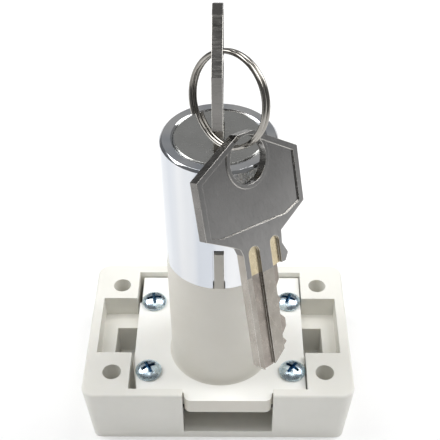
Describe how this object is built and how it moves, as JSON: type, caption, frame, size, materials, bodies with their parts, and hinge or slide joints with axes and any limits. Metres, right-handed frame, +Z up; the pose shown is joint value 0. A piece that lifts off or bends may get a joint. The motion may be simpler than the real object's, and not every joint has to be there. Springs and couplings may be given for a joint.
{
  "type": "selector key switch",
  "caption": "Key-operated selector switch: chromed lock barrel on a white collar plate, screwed into a low white surface housing with side pockets and a front slot.",
  "frame": {"origin": "on the lock barrel axis, on the plane of the housing bottom face", "axes": "+Z up along the barrel, X along the long side of the housing, +Y towards its back"},
  "size_m": [0.0595, 0.0545, 0.0984],
  "materials": {
    "white_plastic": "fine satin moulding, warm white",
    "collar_plastic": "fine satin moulding, warm white",
    "zinc_screw": "blue zinc plate",
    "bright_chrome": "polished chrome plate",
    "dark_chrome": "brushed nickel-chrome",
    "key_nickel": "nickel-plated brass, brass showing in the cuts",
    "ring_steel": "nickel-plated spring wire",
    "zinc_steel": "zinc plate",
    "spring_steel": "bright spring steel",
    "contact_brass": "stamped brass",
    "rotor_plastic": "black glass-filled nylon",
    "contact_plastic": "dark grey phenolic"
  },
  "bodies": {
    "base": {"housing": "white_plastic", "collar_plate": "collar_plastic", "plate_screws": "zinc_screw", "lock_sleeve": "bright_chrome", "sleeve_nut": "zinc_steel", "contact_base": "contact_plastic", "common_contact": "contact_brass", "contact_left": "contact_brass", "contact_right": "contact_brass", "terminal_clamps": "zinc_steel", "terminal_screws": "zinc_steel", "detent_leaf": "spring_steel", "leaf_screw": "zinc_steel"},
    "core": {"lock_core": "dark_chrome", "core_clip": "spring_steel", "shaft_pin": "zinc_steel", "drive_shaft": "zinc_steel", "rotor": "rotor_plastic", "contact_bridge": "contact_brass"},
    "key": {"switch_key": "key_nickel"},
    "ring": {"key_ring": "ring_steel"},
    "spare": {"spare_key": "key_nickel"},
    "wafer_1": {"wafer_1": "contact_brass", "wafer_spring_1": "spring_steel"},
    "wafer_2": {"wafer_2": "contact_brass", "wafer_spring_2": "spring_steel"},
    "wafer_3": {"wafer_3": "contact_brass", "wafer_spring_3": "spring_steel"},
    "wafer_4": {"wafer_4": "contact_brass", "wafer_spring_4": "spring_steel"}
  },
  "joints": [
    {"name": "key_turn", "type": "hinge", "parent": "base", "child": "core", "pos_m": [0, 0, 0.06], "axis": [0, 0, -1], "range_deg": [0, 90], "deforming": ["detent_leaf"]},
    {"name": "key_withdraw", "type": "slide", "parent": "core", "child": "key", "axis": [0, 0, 1], "range_m": [0, 0.022]},
    {"name": "ring_swing", "type": "hinge", "parent": "key", "child": "ring", "pos_m": [0, 0, 0.0937], "axis": [-1, 0, 0], "range_deg": [0, 70]},
    {"name": "spare_key_swing", "type": "hinge", "parent": "ring", "child": "spare", "pos_m": [0.00398, -0.01068, 0.07826], "axis": [-0.6927, 0.4833, -0.5353], "range_deg": [0, 35]},
    {"name": "wafer_1_lift", "type": "slide", "parent": "core", "child": "wafer_1", "axis": [0, 1, 0], "range_m": [0, 0.0005], "stiffness_N_per_m": 120, "springref_m": -0.0004},
    {"name": "wafer_2_lift", "type": "slide", "parent": "core", "child": "wafer_2", "axis": [0, 1, 0], "range_m": [0, 0.0005], "stiffness_N_per_m": 120, "springref_m": -0.0004},
    {"name": "wafer_3_lift", "type": "slide", "parent": "core", "child": "wafer_3", "axis": [0, 1, 0], "range_m": [0, 0.0005], "stiffness_N_per_m": 120, "springref_m": -0.0004},
    {"name": "wafer_4_lift", "type": "slide", "parent": "core", "child": "wafer_4", "axis": [0, 1, 0], "range_m": [0, 0.0005], "stiffness_N_per_m": 120, "springref_m": -0.0004}
  ]
}
